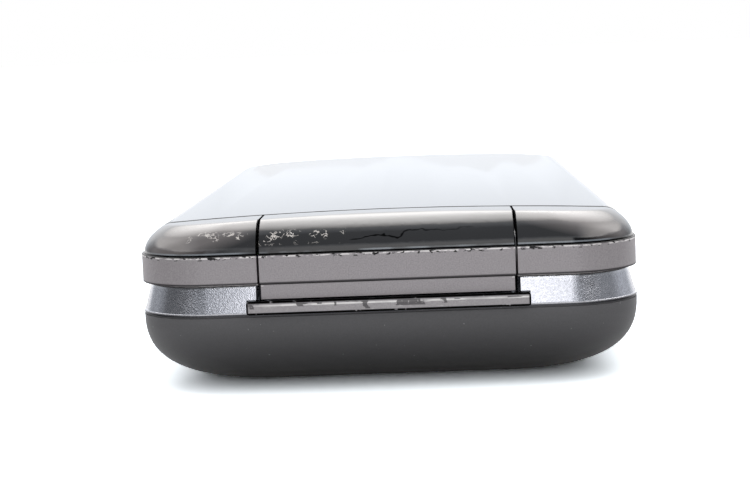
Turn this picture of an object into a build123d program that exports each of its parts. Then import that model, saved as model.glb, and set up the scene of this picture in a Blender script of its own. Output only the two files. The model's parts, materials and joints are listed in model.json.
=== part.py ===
from math import asin, atan, cos, degrees, radians, sin, sqrt
import os
from build123d import *

os.makedirs("parts", exist_ok=True)

# Overall size, closed and lying on its back
length = 108.6
width = 49.2
bar_proud = 0.6
corner_r = 7.0
half_w = width / 2
front_y = -length / 2 + bar_proud
far_y = length / 2
body_len = far_y - front_y
mid_y = (front_y + far_y) / 2

# Layer heights
seam_z = 7.95
parting_z = 11.0
parting_gap = 0.25
rim_z = parting_z - parting_gap
deck_z = rim_z - 0.2
band_top_z = 13.82
lid_top_z = 17.15
lid_drop = 1.0
crown_drop = 0.8
lid_tilt = degrees(asin(lid_drop / body_len))

# Hinge barrel
axis_back = 4.4
axis_y = front_y + axis_back
axis_z = parting_z + 1.72
sweep_r = 5.6
sweep_gap = 0.2
clear_r = sweep_r + sweep_gap
knuckle_half = 12.35
knuckle_seam = 0.2
side_knuckle_x = knuckle_half + knuckle_seam
notch_half = 12.78
strip_z = parting_z - 1.47
strip_inset = 0.12
hinge_reach = 6.25
lid_reach = hinge_reach + 0.15
lid_start_y = axis_y + 4.65
cap_back_y = lid_start_y - 0.25
knuckle_back_y = axis_y + hinge_reach
deck_start_y = knuckle_back_y + 0.4
seat_depth = 4.6
cam_seat_r = 2.2
bush_r = 2.2
flex_drop_x = -side_knuckle_x - seat_depth + 1.9
flex_slot_w = 2.2
flex_half = 0.9
flex_slot_t = 0.7
flex_low_z = seam_z + 0.9
flex_spare = 0.25
bar_half = 13.7
bar_h = 1.34
bar_low_z = seam_z + 0.13
bar_depth = 1.75
bar_end_r = 0.3

# Walls and fits
wall = 1.3
face_gap = 0.05
loose_gap = 0.15
key_gap = 0.15
key_travel = 0.3
floor_t = 1.2
waist_inset = 0.8
waist_lip = 0.3
waist_step = 0.12
waist_h = rim_z - seam_z - waist_lip
waist_taper = degrees(atan((waist_inset - waist_step) / waist_h))
seam_groove = 0.16

# Lid: the wall rounds in from the band to the crowned, slightly falling top
lid_inset = 0.25
lid_round = 5.5
lid_rise = 3.4
lid_blend = 2.4
lid_inner_blend = 0.4
lid_steps = [0, 0.25, 0.5, 0.7, 0.85, 0.95, 1]

# Belly: the flank runs in from the seam to the flat underside on one curve
belly_side = 5.2
belly_front = 10.1
belly_far = 7.5
belly_rise = 2.58
belly_ease = 0.877
belly_steps = [0, 0.12, 0.3, 0.5, 0.7, 0.85, 0.94, 1]


def outline(inset):
    """Rounded plan outline of the whole phone, moved in by an inset."""
    with Locations((0, mid_y)):
        RectangleRounded(width - 2 * inset, body_len - 2 * inset, corner_r - inset)


def slab(inset, low, high):
    """A plain layer of the plan outline between two heights."""
    with BuildPart(mode=Mode.PRIVATE) as layer:
        with BuildSketch(Plane.XY.offset(low)):
            outline(inset)
        extrude(amount=high - low)
    return layer.part


def block(x_low, x_high, y_low, y_high, z_low, z_high):
    """A box given by its faces, for cuts and plain parts."""
    with BuildPart(mode=Mode.PRIVATE) as solid:
        with BuildSketch(Plane.XY.offset(z_low)):
            with Locations(((x_low + x_high) / 2, (y_low + y_high) / 2)):
                Rectangle(x_high - x_low, y_high - y_low)
        extrude(amount=z_high - z_low)
    return solid.part


def axis_rod(x_low, x_high, radius):
    """A round rod on the lid hinge axis."""
    with BuildPart(mode=Mode.PRIVATE) as rod:
        with BuildSketch(Plane.YZ.offset(x_low)):
            with Locations((axis_y, axis_z)):
                Circle(radius)
        extrude(amount=x_high - x_low)
    return rod.part


def post(x, y, z_low, z_high, radius):
    """An upright round post or hole."""
    with BuildPart(mode=Mode.PRIVATE) as pin:
        with BuildSketch(Plane.XY.offset(z_low)):
            with Locations((x, y)):
                Circle(radius)
        extrude(amount=z_high - z_low)
    return pin.part


def belly(inset, low):
    """The lower half of the base, lofted down its curved flank, moved in by an inset."""
    with BuildPart(mode=Mode.PRIVATE) as half:
        for depth in belly_steps:
            run = 1 - (1 - depth**belly_rise) ** belly_ease
            span_x = width - 2 * inset - 2 * belly_side * run
            span_y = body_len - 2 * inset - (belly_front + belly_far) * run
            shift = (belly_front - belly_far) * run / 2
            with BuildSketch(Plane.XY.offset(seam_z - depth * (seam_z - low))):
                with Locations((0, mid_y + shift)):
                    RectangleRounded(span_x, span_y, corner_r - inset)
        loft()
    return half.part


def crown(inset, top, edge_round):
    """The space under the lid's rounded wall and its curved, slightly falling top."""
    tilt = radians(lid_tilt)
    reach = half_w + 2
    reach_drop = crown_drop * (reach / half_w) ** 2
    rise = lid_rise + top - lid_top_z
    start = Plane(
        origin=(0, front_y, 0), x_dir=(-1, 0, 0), z_dir=(0, cos(tilt), -sin(tilt))
    )
    with BuildPart(mode=Mode.PRIVATE) as space:
        for step in lid_steps:
            run = lid_round * (1 - sqrt(1 - step**2))
            level = Plane(
                origin=(0, mid_y, band_top_z + step * (rise - lid_drop / 2)),
                x_dir=(1, 0, 0),
                z_dir=(0, sin(tilt * step), cos(tilt * step)),
            )
            with BuildSketch(level):
                RectangleRounded(
                    width - 2 * inset - 2 * run, body_len - 2 * inset - 2 * run,
                    corner_r - inset,
                )
        loft()
        with BuildSketch(start):
            with BuildLine():
                ThreePointArc((-reach, top - reach_drop), (0, top), (reach, top - reach_drop))
                Polyline((reach, top - reach_drop), (reach, 0), (-reach, 0))
                Line((-reach, 0), (-reach, top - reach_drop))
            make_face()
        extrude(amount=body_len + 2, mode=Mode.INTERSECT)
        fillet(space.faces().sort_by(Axis.Z)[-1].edges(), radius=edge_round)
    return space.part


def save(body, name):
    """Label one finished piece and write its file."""
    body.label = name
    export_step(body, "parts/" + name + ".step")


# Rear case: the rounded lower shell with the battery bay
cavity_y = axis_y + clear_r + wall
bay_side_room = 3.2
bay_front_room = 21.2
bay_far_room = 21.3
bay_half = half_w - belly_side - bay_side_room
bay_low_y = cavity_y + bay_front_room
bay_high_y = far_y - bay_far_room
bay_wall = 1.1
bay_roof_z = 5.75
bay_roof_t = 0.9
board_z = bay_roof_z + bay_roof_t
board_t = 0.8
cover_ledge = 0.85
cover_slip = 0.1
cover_half = bay_half + cover_ledge - cover_slip
cover_t = 1.1
cover_corner = 0.4
grip_w = 9.0
grip_h = 0.5
grip_depth = 0.3
grip_pitch = 1.2
grip_count = 3
grip_y = bay_low_y + 5
battery_round = 0.8
screw_inset = 0.7
screw_front_room = 4.7
screw_far_room = 8.6
screw_x = bay_half - screw_inset
screw_front_y = cavity_y + screw_front_room
screw_far_y = far_y - screw_far_room
screw_sites = [
    (-screw_x, screw_front_y),
    (screw_x, screw_front_y),
    (-screw_x, screw_far_y),
    (screw_x, screw_far_y),
]
screw_head_r = 1.4
screw_head_h = 1.0
screw_head_z = 1.0
screw_r = 0.7
cross_half = 0.9
cross_w = 0.2
cross_depth = 0.5
plug_t = 0.9
boss_r = 2.2
key_boss_r = 1.6
screw_tip_z = seam_z + 0.6
camera_x = 0.0
camera_room = 10.2
camera_y = cavity_y + camera_room
camera_window_r = 3.6
camera_r = 3.0
speaker_x = 10.5
speaker_room = 12.7
speaker_y = cavity_y + speaker_room
speaker_r = 5.0
grille_w = 4.4
grille_h = 0.7
grille_pitch = 1.6
grille_count = 4
port_half = 5.0
port_low_z = 4.4
port_high_z = 7.2
port_depth = 3.0
port_cover_t = 2.2
port_cover_half = 5.9
port_cover_low = 4.0
port_cover_high = 7.55
cover_gap = 0.12
cover_bevel = 0.7
strap_x = 21.9
strap_post = 0.9

with BuildPart() as rear_case:
    add(belly(0, 0))
    add(
        belly(wall, floor_t) & block(-half_w, half_w, cavity_y, far_y, 0, seam_z),
        mode=Mode.SUBTRACT,
    )
    add(
        slab(0, seam_z - seam_groove, seam_z)
        - slab(seam_groove, seam_z - seam_groove, seam_z),
        mode=Mode.SUBTRACT,
    )
    add(axis_rod(-notch_half, notch_half, clear_r), mode=Mode.SUBTRACT)
    add(
        block(
            -bay_half - bay_wall,
            bay_half + bay_wall,
            bay_low_y - bay_wall,
            bay_high_y + bay_wall,
            floor_t / 2,
            board_z,
        )
    )
    add(
        block(-bay_half, bay_half, bay_low_y, bay_high_y, 0, bay_roof_z),
        mode=Mode.SUBTRACT,
    )
    add(
        block(
            -cover_half - cover_gap,
            cover_half + cover_gap,
            bay_low_y - cover_ledge,
            bay_high_y + cover_ledge,
            0,
            cover_t + face_gap,
        ),
        mode=Mode.SUBTRACT,
    )
    for site_x, site_y in screw_sites:
        add(post(site_x, site_y, floor_t / 2, board_z, boss_r))
        add(post(site_x, site_y, 0, board_z, screw_r + face_gap), mode=Mode.SUBTRACT)
        add(
            post(site_x, site_y, 0, screw_head_z + screw_head_h, screw_head_r + face_gap),
            mode=Mode.SUBTRACT,
        )
    add(post(camera_x, camera_y, 0, floor_t, camera_window_r), mode=Mode.SUBTRACT)
    with BuildSketch(Plane.XY):
        with Locations((speaker_x, speaker_y)):
            with GridLocations(0, grille_pitch, 1, grille_count):
                SlotOverall(grille_w, grille_h)
    extrude(amount=floor_t, mode=Mode.SUBTRACT)
    add(
        block(-port_half, port_half, far_y - port_depth, far_y, port_low_z, port_high_z),
        mode=Mode.SUBTRACT,
    )
    add(
        block(
            -port_cover_half - cover_gap,
            port_cover_half + cover_gap,
            far_y - port_cover_t,
            far_y,
            port_cover_low - cover_gap,
            port_cover_high + cover_gap,
        ),
        mode=Mode.SUBTRACT,
    )
save(rear_case.part, "rear_case")

with BuildPart() as battery_cover:
    add(
        block(
            -cover_half,
            cover_half,
            bay_low_y - cover_ledge + cover_gap,
            bay_high_y + cover_ledge - cover_gap,
            0,
            cover_t,
        )
    )
    thumb_edges = battery_cover.edges().filter_by(Axis.Z)
    fillet(thumb_edges, radius=cover_corner)
    add(belly(0, 0), mode=Mode.INTERSECT)
    with BuildSketch(Plane.XY):
        with Locations((0, grip_y)):
            with GridLocations(0, grip_pitch, 1, grip_count):
                SlotOverall(grip_w, grip_h)
    extrude(amount=grip_depth, mode=Mode.SUBTRACT)
save(battery_cover.part, "battery_cover")

with BuildPart() as battery:
    add(
        block(
            -bay_half + loose_gap,
            bay_half - loose_gap,
            bay_low_y + loose_gap,
            bay_high_y - loose_gap,
            cover_t + loose_gap,
            bay_roof_z - loose_gap,
        )
    )
    fillet(battery.edges().filter_by(Axis.Y), radius=battery_round)
save(battery.part, "battery")


# Keypad case: the silver waist, the key deck and the hinge notch
deck_t = 0.8
deck_low_z = deck_z - deck_t
rim_w = 2.2
pad_w = width - 2 * waist_inset - 2 * rim_w
pad_len = far_y - waist_inset - rim_w - deck_start_y
key_space = 1.35
key_pitch_x = 0.298 * pad_w
key_pitch_y = 0.1021 * pad_len
key_w = key_pitch_x - key_space
key_h = key_pitch_y - key_space
key_corner = 1.2
key_proud = 0.35
key_top_z = deck_z + key_proud
key_bevel = 0.18
key_flange = 0.45
key_flange_t = 0.5
key_flange_z = deck_low_z - key_flange_t - 0.1
stem_r = 1.2
stem_len = 0.95
stem_z = key_flange_z - stem_len
digits_y = far_y - waist_inset - rim_w - 0.2788 * pad_len
call_row_y = digits_y - 1.5 * key_pitch_y - 1.06 * key_pitch_y
nav_y = deck_start_y + 0.2355 * pad_len
nav_r = 0.1 * pad_len
nav_hole_r = 4.5
nav_bevel = 0.25
ok_r = nav_hole_r - key_gap
corner_key_w = 0.194 * pad_w
corner_key_x = key_pitch_x + key_w / 2 - corner_key_w / 2
corner_key_h = 0.0702 * pad_len
soft_key_y = nav_y - 1.17 * nav_r
mail_key_y = nav_y + 1.15 * nav_r
side_key_w = 0.9
side_key_low = seam_z + 0.4
side_key_high = deck_low_z - 0.1
volume_y = deck_start_y + 0.326 * pad_len
volume_len = 16.0
mic_y = far_y - 6.1
mic_hole_r = 0.5

digit_names = [
    "key_1",
    "key_2",
    "key_3",
    "key_4",
    "key_5",
    "key_6",
    "key_7",
    "key_8",
    "key_9",
    "key_star",
    "key_0",
    "key_hash",
]
oblong_keys = []
for place, key_name in enumerate(digit_names):
    column = place % 3
    row = place // 3
    key_x = (1 - column) * key_pitch_x
    key_y = digits_y + (row - 1.5) * key_pitch_y
    oblong_keys.append((key_name, key_x, key_y, key_w, key_h))
oblong_keys.append(("call_key", key_pitch_x, call_row_y, key_w, key_h))
oblong_keys.append(("clear_key", 0, call_row_y, key_w, key_h))
oblong_keys.append(("end_key", -key_pitch_x, call_row_y, key_w, key_h))
oblong_keys.append(
    ("left_soft_key", corner_key_x, soft_key_y, corner_key_w, corner_key_h)
)
oblong_keys.append(
    ("right_soft_key", -corner_key_x, soft_key_y, corner_key_w, corner_key_h)
)
oblong_keys.append(("mail_key", corner_key_x, mail_key_y, corner_key_w, corner_key_h))
oblong_keys.append(("web_key", -corner_key_x, mail_key_y, corner_key_w, corner_key_h))


def key_hole(x, y, key_width, key_height, spare, low, high):
    """A round-cornered upright prism for a key or its hole."""
    with BuildPart(mode=Mode.PRIVATE) as prism:
        with BuildSketch(Plane.XY.offset(low)):
            with Locations((x, y)):
                RectangleRounded(
                    key_width + 2 * spare, key_height + 2 * spare, key_corner + spare
                )
        extrude(amount=high - low)
    return prism.part


def flex_drop(top):
    """The upright slot the flat cable takes down from the hinge."""
    return block(
        flex_drop_x - flex_slot_w / 2, flex_drop_x + flex_slot_w / 2,
        axis_y - flex_slot_t / 2, axis_y + flex_slot_t / 2,
        flex_low_z - flex_spare, top,
    )


with BuildPart() as key_case:
    add(slab(0, seam_z, seam_z + waist_lip))
    with BuildSketch(Plane.XY.offset(seam_z + waist_lip)):
        outline(waist_step)
    extrude(amount=waist_h, taper=waist_taper)
    with BuildSketch(Plane.XY.offset(rim_z)):
        with Locations((0, (deck_start_y + far_y - waist_inset - rim_w) / 2)):
            RectangleRounded(
                width - 2 * waist_inset - 2 * rim_w,
                far_y - waist_inset - rim_w - deck_start_y,
                corner_r - rim_w,
            )
    extrude(amount=deck_z - rim_z, mode=Mode.SUBTRACT)
    add(
        slab(waist_inset + wall, seam_z, deck_low_z)
        & block(-half_w, half_w, cavity_y, far_y, seam_z, deck_low_z),
        mode=Mode.SUBTRACT,
    )
    add(axis_rod(-notch_half, notch_half, clear_r), mode=Mode.SUBTRACT)
    add(
        block(
            -bar_half, bar_half, front_y - bar_proud, front_y + bar_depth,
            bar_low_z, bar_low_z + bar_h,
        ),
        mode=Mode.SUBTRACT,
    )
    for key_name, key_x, key_y, key_width, key_height in oblong_keys:
        add(
            key_hole(key_x, key_y, key_width, key_height, key_gap, deck_low_z, deck_z),
            mode=Mode.SUBTRACT,
        )
    add(post(0, nav_y, deck_low_z, deck_z, nav_r + key_gap), mode=Mode.SUBTRACT)
    add(post(0, mic_y, deck_low_z, deck_z, mic_hole_r), mode=Mode.SUBTRACT)
    for site_x, site_y in screw_sites:
        add(post(site_x, site_y, board_z, deck_low_z, key_boss_r))
        add(post(site_x, site_y, board_z, screw_tip_z, screw_r), mode=Mode.SUBTRACT)
    add(
        block(
            half_w - wall - waist_inset, half_w, volume_y - volume_len / 2 - key_gap,
            volume_y + volume_len / 2 + key_gap, side_key_low, side_key_high,
        ),
        mode=Mode.SUBTRACT,
    )
    seat_end = side_knuckle_x + seat_depth
    add(axis_rod(-seat_end, seat_end, cam_seat_r), mode=Mode.SUBTRACT)
    add(flex_drop(rim_z), mode=Mode.SUBTRACT)
    add(
        block(
            flex_drop_x - flex_slot_w / 2, flex_drop_x + flex_slot_w / 2, axis_y,
            cavity_y, flex_low_z - flex_spare, flex_low_z + 2 * flex_spare,
        ),
        mode=Mode.SUBTRACT,
    )
save(key_case.part, "key_case")

with BuildPart() as hinge_bar:
    with BuildSketch(Plane.XZ.offset(-front_y + bar_proud)):
        with Locations((0, bar_low_z + bar_h / 2)):
            RectangleRounded(2 * bar_half, bar_h, bar_end_r)
    extrude(amount=-(bar_proud + bar_depth))
    add(axis_rod(-notch_half, notch_half, clear_r), mode=Mode.SUBTRACT)
save(hinge_bar.part, "hinge_bar")

# Side knuckles: fixed barrels at the two hinge corners
knuckle_foot_inset = 1.0


def side_knuckle(side):
    """The grey corner block on one side of the hinge."""
    low_x = min(side * side_knuckle_x, side * half_w)
    high_x = max(side * side_knuckle_x, side * half_w)
    with BuildPart(mode=Mode.PRIVATE) as corner:
        add(
            slab(0, parting_z, band_top_z)
            & block(low_x, high_x, front_y, knuckle_back_y, parting_z, band_top_z)
        )
        add(
            slab(knuckle_foot_inset, rim_z, parting_z)
            & block(low_x, high_x, front_y, knuckle_back_y, rim_z, parting_z)
        )
        seat_x = side * (side_knuckle_x + seat_depth)
        add(
            axis_rod(
                min(side * knuckle_half, seat_x), max(side * knuckle_half, seat_x),
                cam_seat_r,
            ),
            mode=Mode.SUBTRACT,
        )
        add(axis_rod(low_x, high_x, hinge_reach), mode=Mode.INTERSECT)
    return corner.part


lid_shape = crown(lid_inset, lid_top_z, lid_blend)


def barrel_cap(low_x, high_x, back_y):
    """A glossy cap over one part of the hinge, flush with the lid panel."""
    with BuildPart(mode=Mode.PRIVATE) as cap:
        add(block(low_x, high_x, front_y, back_y, band_top_z, lid_top_z + 1))
        add(axis_rod(low_x, high_x, hinge_reach), mode=Mode.INTERSECT)
        add(lid_shape, mode=Mode.INTERSECT)
    return cap.part


with BuildPart() as left_knuckle:
    add(side_knuckle(-1))
    add(flex_drop(axis_z), mode=Mode.SUBTRACT)
save(left_knuckle.part, "left_knuckle")

with BuildPart() as right_knuckle:
    add(side_knuckle(1))
save(right_knuckle.part, "right_knuckle")

with BuildPart() as left_hinge_cap:
    add(barrel_cap(-half_w, -side_knuckle_x, knuckle_back_y))
    add(
        axis_rod(-side_knuckle_x - seat_depth, -side_knuckle_x, bush_r),
        mode=Mode.SUBTRACT,
    )
save(left_hinge_cap.part, "left_hinge_cap")

with BuildPart() as right_hinge_cap:
    add(barrel_cap(side_knuckle_x, half_w, knuckle_back_y))
    add(
        axis_rod(side_knuckle_x, side_knuckle_x + seat_depth, cam_seat_r),
        mode=Mode.SUBTRACT,
    )
save(right_hinge_cap.part, "right_hinge_cap")

# Lid: band frame, display side, glossy panel and centre knuckle
band_wall = 1.2
bezel_z = parting_z + 0.15
bezel_t = 0.8
bezel_top_z = bezel_z + bezel_t
panel_wall = 1.2
can_r = 2.6
can_low_x = -2.0
bush_low_x = -8.0
flex_r = 1.3
flex_bore_r = 1.45
flex_t = 0.2
flex_low_x = -8.0
flex_high_x = -5.0
neck_half = 10.0
neck_front_y = axis_y + 2.6
window_half = half_w - band_wall - 2.8
window_low_y = deck_start_y + 4.25
window_high_y = far_y - 3.9
screen_half = window_half - 2.0
screen_low_y = window_low_y + 7.4
screen_high_y = window_high_y - 13.4
window_t = 0.6
window_corner = 2.4
earpiece_y = window_high_y - 4.8
earpiece_slot_w = 10.0
earpiece_slot_h = 1.2
neck_stop_z = parting_z - 0.45


def knuckle_bores(spare):
    """The hollows that run along the centre knuckle."""
    with BuildPart(mode=Mode.PRIVATE) as bores:
        add(axis_rod(can_low_x, knuckle_half, can_r))
        add(axis_rod(bush_low_x, can_low_x, flex_bore_r))
        add(axis_rod(-knuckle_half, bush_low_x, bush_r + spare))
    return bores.part


with BuildPart() as lid_frame:
    add(slab(0, parting_z, band_top_z))
    add(
        block(-half_w, half_w, lid_start_y, far_y, parting_z, band_top_z),
        mode=Mode.INTERSECT,
    )
    add(
        slab(band_wall, parting_z, band_top_z)
        & block(
            -half_w, half_w, axis_y + lid_reach + band_wall, far_y,
            parting_z, band_top_z,
        ),
        mode=Mode.SUBTRACT,
    )
    add(axis_rod(-half_w, -knuckle_half, lid_reach), mode=Mode.SUBTRACT)
    add(axis_rod(knuckle_half, half_w, lid_reach), mode=Mode.SUBTRACT)
    add(
        block(
            -knuckle_half, knuckle_half, front_y, lid_start_y, parting_z, band_top_z
        )
    )
    add(knuckle_bores(face_gap), mode=Mode.SUBTRACT)
    add(
        block(
            -neck_half, neck_half, neck_front_y, axis_y + lid_reach + band_wall,
            parting_z, bezel_top_z,
        ),
        mode=Mode.SUBTRACT,
    )
    add(
        block(
            flex_low_x - flex_t, flex_high_x + flex_t, axis_y,
            axis_y + lid_reach + band_wall, axis_z - flex_t, axis_z + 2 * flex_t,
        ),
        mode=Mode.SUBTRACT,
    )
save(lid_frame.part, "lid_frame")

with BuildPart() as lid_bezel:
    add(
        slab(band_wall, bezel_z, bezel_top_z)
        & block(
            -half_w, half_w, axis_y + lid_reach + band_wall, far_y,
            bezel_z, bezel_top_z,
        )
    )
    with BuildSketch(Plane.XY.offset(bezel_z)):
        with Locations((0, (window_low_y + window_high_y) / 2)):
            RectangleRounded(
                2 * window_half + 2 * face_gap,
                window_high_y - window_low_y + 2 * face_gap,
                window_corner,
            )
    extrude(amount=window_t, mode=Mode.SUBTRACT)
    add(
        block(
            -screen_half, screen_half, screen_low_y, screen_high_y,
            bezel_z, bezel_top_z,
        ),
        mode=Mode.SUBTRACT,
    )
    with BuildSketch(Plane.XY.offset(bezel_z)):
        with Locations((0, earpiece_y)):
            SlotOverall(earpiece_slot_w, earpiece_slot_h)
    extrude(amount=bezel_t, mode=Mode.SUBTRACT)
    add(
        block(
            -neck_half, neck_half, neck_front_y, axis_y + lid_reach + band_wall,
            parting_z, bezel_top_z,
        )
    )
    add(
        block(
            -neck_half, neck_half, neck_front_y, lid_start_y - key_gap,
            neck_stop_z, parting_z,
        )
    )
    add(
        block(
            -knuckle_half + strip_inset, knuckle_half - strip_inset,
            front_y, lid_start_y, strip_z, parting_z - face_gap,
        )
        & axis_rod(-knuckle_half, knuckle_half, sweep_r)
    )
    add(knuckle_bores(face_gap), mode=Mode.SUBTRACT)
save(lid_bezel.part, "lid_bezel")

with BuildPart() as lid_panel:
    add(
        lid_shape
        & block(-half_w, half_w, lid_start_y, far_y, band_top_z, lid_top_z + 1)
    )
    add(
        crown(panel_wall, lid_top_z - panel_wall, lid_inner_blend)
        & block(
            -half_w, half_w, axis_y + lid_reach + band_wall, far_y,
            band_top_z, lid_top_z,
        ),
        mode=Mode.SUBTRACT,
    )
    add(axis_rod(-half_w, -knuckle_half, lid_reach), mode=Mode.SUBTRACT)
    add(axis_rod(knuckle_half, half_w, lid_reach), mode=Mode.SUBTRACT)
save(lid_panel.part, "lid_panel")

with BuildPart() as centre_hinge_cap:
    add(barrel_cap(-knuckle_half, knuckle_half, cap_back_y))
    add(knuckle_bores(face_gap), mode=Mode.SUBTRACT)
save(centre_hinge_cap.part, "centre_hinge_cap")

with BuildPart() as display_window:
    with BuildSketch(Plane.XY.offset(bezel_z)):
        with Locations((0, (window_low_y + window_high_y) / 2)):
            RectangleRounded(
                2 * window_half, window_high_y - window_low_y, window_corner
            )
        with Locations((0, earpiece_y)):
            SlotOverall(earpiece_slot_w, earpiece_slot_h, mode=Mode.SUBTRACT)
    extrude(amount=window_t)
save(display_window.part, "display_window")

# Inside the lid: display, board, earpiece and magnet
display_low_z = bezel_top_z
display_t = 1.6
display_half_w = screen_half + 0.8
display_low_y = screen_low_y - 2.0
display_high_y = screen_high_y + 1.5
lid_board_z = display_low_z + display_t
lid_board_t = 0.6
lid_chip_t = 0.7
lid_chip_w = 8.0
lid_chip_d = 6.5
lid_chip_sites = [
    (-display_half_w / 2, display_low_y + 13),
    (display_half_w / 3, display_low_y + 17),
    (display_half_w / 2, display_low_y + 43),
    (-display_half_w / 2, display_low_y + 37),
    (-display_half_w / 2, display_low_y + 55),
]
earpiece_w = 12.0
earpiece_d = 6.0
earpiece_t = 2.4
earpiece_corner = 1.5
magnet_r = 2.0
magnet_t = 1.2
magnet_x = screen_half - 1.6
magnet_y = earpiece_y
pad_r = 1.1
pad_t = 0.15
pad_x = half_w - band_wall - 1.4
pad_far_y = window_high_y - 4.0
pad_near_y = window_low_y + 5.4
pad_sites = [
    (-pad_x, pad_far_y),
    (pad_x, pad_far_y),
    (-pad_x, pad_near_y),
    (pad_x, pad_near_y),
]

with BuildPart() as display_module:
    add(
        block(
            -display_half_w, display_half_w, display_low_y, display_high_y,
            display_low_z, lid_board_z,
        )
    )
    add(
        block(
            -screen_half + loose_gap, screen_half - loose_gap,
            screen_low_y + loose_gap, screen_high_y - loose_gap,
            bezel_z + window_t, display_low_z,
        )
    )
save(display_module.part, "display_module")

with BuildPart() as lid_board:
    add(
        block(
            -display_half_w, display_half_w, display_low_y - 3, display_high_y + 1,
            lid_board_z, lid_board_z + lid_board_t,
        )
    )
    with BuildSketch(Plane.XY.offset(lid_board_z + lid_board_t)):
        with Locations(*lid_chip_sites):
            Rectangle(lid_chip_w, lid_chip_d)
    extrude(amount=lid_chip_t)
save(lid_board.part, "lid_board")

with BuildPart() as earpiece:
    with BuildSketch(Plane.XY.offset(display_low_z)):
        with Locations((0, earpiece_y)):
            RectangleRounded(earpiece_w, earpiece_d, earpiece_corner)
    extrude(amount=earpiece_t)
save(earpiece.part, "earpiece")

with BuildPart() as lid_magnet:
    add(
        post(magnet_x, magnet_y, display_low_z, display_low_z + magnet_t, magnet_r)
    )
save(lid_magnet.part, "lid_magnet")

with BuildPart() as lid_pads:
    for site_x, site_y in pad_sites:
        add(post(site_x, site_y, bezel_z - pad_t, bezel_z, pad_r))
save(lid_pads.part, "lid_pads")

# Hinge cartridge, hollow bush and the cable that runs through them
can_wall = 0.4
can_end_t = 0.6
shaft_r = 0.8
head_r = cam_seat_r
head_x = knuckle_half + knuckle_seam / 2
head_len = 3.6
follower_t = 2.0
follower_x = head_x - 0.2 - follower_t
cam_lobe_h = 0.35
cam_lobe_r = 0.45
cam_lobe_off = 1.5
can_high_x = follower_x + follower_t
bush_inner_r = 1.5
bush_end_x = -side_knuckle_x - seat_depth
spring_wire_r = 0.25
spring_r = can_r - can_wall - 0.5
spring_turns = 5
flex_bend_y = display_low_y - 3.2

with BuildPart() as hinge_can:
    add(axis_rod(can_low_x + face_gap, can_high_x, can_r))
    add(
        axis_rod(can_low_x + face_gap + can_end_t, can_high_x, can_r - can_wall),
        mode=Mode.SUBTRACT,
    )
    add(
        axis_rod(can_low_x, can_low_x + 2 * can_end_t, shaft_r + face_gap),
        mode=Mode.SUBTRACT,
    )
save(hinge_can.part, "hinge_can")

with BuildPart() as hinge_shaft:
    add(axis_rod(can_low_x + face_gap, head_x, shaft_r))
    add(axis_rod(head_x, head_x + head_len, head_r))
    with BuildSketch(Plane.YZ.offset(head_x - cam_lobe_h / 2)):
        with Locations((axis_y + cam_lobe_off, axis_z), (axis_y - cam_lobe_off, axis_z)):
            Circle(cam_lobe_r)
    extrude(amount=cam_lobe_h)
save(hinge_shaft.part, "hinge_shaft")

with BuildPart() as cam_follower:
    add(axis_rod(follower_x, follower_x + follower_t, can_r - can_wall - face_gap))
    add(
        axis_rod(follower_x, follower_x + follower_t, shaft_r + face_gap),
        mode=Mode.SUBTRACT,
    )
save(cam_follower.part, "cam_follower")

spring_start = can_low_x + face_gap + can_end_t + spring_wire_r + face_gap
spring_len = follower_x - spring_start - spring_wire_r - face_gap
with BuildPart() as hinge_spring:
    with BuildLine() as coil:
        Helix(
            pitch=spring_len / spring_turns,
            height=spring_len,
            radius=spring_r,
            center=(0, 0, 0),
            direction=(0, 0, 1),
        )
    with BuildSketch(Plane(origin=coil.line @ 0, z_dir=coil.line % 0)):
        RegularPolygon(spring_wire_r, 8)
    sweep(is_frenet=True)
spring_seat = Location((spring_start, axis_y, axis_z), (0, 90, 0))
spring_body = hinge_spring.part.moved(spring_seat)
save(spring_body, "hinge_spring")

with BuildPart() as hinge_bush:
    add(axis_rod(bush_end_x, bush_low_x - face_gap, bush_r))
    add(axis_rod(bush_end_x, bush_low_x, bush_inner_r), mode=Mode.SUBTRACT)
    add(
        block(
            flex_drop_x - flex_slot_w / 2, flex_drop_x + flex_slot_w / 2,
            axis_y - flex_slot_t / 2, axis_y + flex_slot_t / 2,
            axis_z - bush_r, axis_z,
        ),
        mode=Mode.SUBTRACT,
    )
save(hinge_bush.part, "hinge_bush")

with BuildPart() as flex_cable:
    add(axis_rod(flex_drop_x - flex_slot_w / 2 + flex_t, flex_high_x, flex_r))
    add(
        axis_rod(flex_drop_x - flex_slot_w, flex_high_x + 1, flex_r - flex_t),
        mode=Mode.SUBTRACT,
    )
    add(
        block(
            flex_low_x, flex_high_x, axis_y + flex_r - flex_t, flex_bend_y,
            axis_z, axis_z + flex_t,
        )
    )
    add(
        block(
            flex_low_x, flex_high_x, flex_bend_y - flex_t, flex_bend_y,
            axis_z, lid_board_z + lid_board_t + flex_t,
        )
    )
    add(
        block(
            flex_low_x, flex_high_x, flex_bend_y - flex_t, display_low_y,
            lid_board_z + lid_board_t, lid_board_z + lid_board_t + flex_t,
        )
    )
    add(
        block(
            flex_drop_x - flex_half, flex_drop_x + flex_half, axis_y - flex_t / 2,
            axis_y + flex_t / 2, flex_low_z, axis_z - flex_r + flex_t / 2,
        )
    )
    add(
        block(
            flex_drop_x - flex_half, flex_drop_x + flex_half, axis_y - flex_t / 2, cavity_y + 2,
            flex_low_z, flex_low_z + flex_t,
        )
    )
save(flex_cable.part, "flex_cable")

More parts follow.
